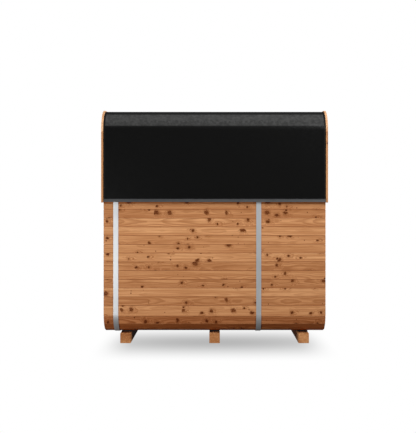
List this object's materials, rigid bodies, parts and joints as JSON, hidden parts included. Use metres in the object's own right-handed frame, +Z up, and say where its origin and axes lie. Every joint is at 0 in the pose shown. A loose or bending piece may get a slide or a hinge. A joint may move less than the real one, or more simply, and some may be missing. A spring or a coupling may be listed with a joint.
{
  "type": "square barrel sauna",
  "caption": "Rounded-square garden sauna of horizontal staves held by steel bands, with an open porch, a plank door, a smooth black roof skin and timber bearers.",
  "frame": {"origin": "on the ground, at the middle of the footprint", "axes": "+X along the staves towards the porch, +Y across the shell, +Z up"},
  "size_m": [2.26, 2.2598, 2.3536],
  "materials": {
    "stave_wood": "planed red-brown knotty softwood",
    "wall_wood": "planed knotty softwood",
    "door_wood": "planed knotty softwood",
    "frame_wood": "planed light softwood",
    "round_fascia_wood": "planed light softwood",
    "fascia_wood": "planed light softwood",
    "bearer_wood": "planed light softwood with broken edges",
    "deck_wood": "sawn softwood",
    "pull_wood": "smooth darker wood",
    "pad_rubber": "matt black",
    "roof_rubber": "smooth satin black",
    "band_steel": "flat satin steel",
    "drip_metal": "satin dark grey",
    "hinge_metal": "satin black"
  },
  "bodies": {
    "root": {"rear_bearer": "bearer_wood", "middle_bearer": "bearer_wood", "front_bearer": "bearer_wood", "rear_pad": "pad_rubber", "middle_pad": "pad_rubber", "front_pad": "pad_rubber", "floor_staves": "stave_wood", "ceiling_staves": "stave_wood", "near_wall_staves": "stave_wood", "far_wall_staves": "stave_wood", "near_bottom_corner": "stave_wood", "far_bottom_corner": "stave_wood", "near_top_corner": "stave_wood", "far_top_corner": "stave_wood", "rear_wall": "wall_wood", "front_wall_near": "wall_wood", "front_wall_far": "wall_wood", "front_wall_over_door": "wall_wood", "front_wall_under_door": "wall_wood", "door_jamb_near": "frame_wood", "door_jamb_far": "frame_wood", "door_head": "frame_wood", "door_sill": "frame_wood", "door_leaf": "door_wood", "door_ledges": "door_wood", "door_hinges": "hinge_metal", "door_pulls": "pull_wood", "rear_band": "band_steel", "front_band": "band_steel", "roof_deck_top": "deck_wood", "roof_deck_near": "deck_wood", "roof_deck_far": "deck_wood", "roof_skin": "roof_rubber", "drip_edge_near": "drip_metal", "drip_edge_far": "drip_metal", "rear_fascia_top": "fascia_wood", "rear_fascia_near": "fascia_wood", "rear_fascia_near_corner": "round_fascia_wood", "rear_fascia_far": "fascia_wood", "rear_fascia_far_corner": "round_fascia_wood", "front_fascia_top": "fascia_wood", "front_fascia_near": "fascia_wood", "front_fascia_near_corner": "round_fascia_wood", "front_fascia_far": "fascia_wood", "front_fascia_far_corner": "round_fascia_wood"}
  },
  "joints": []
}
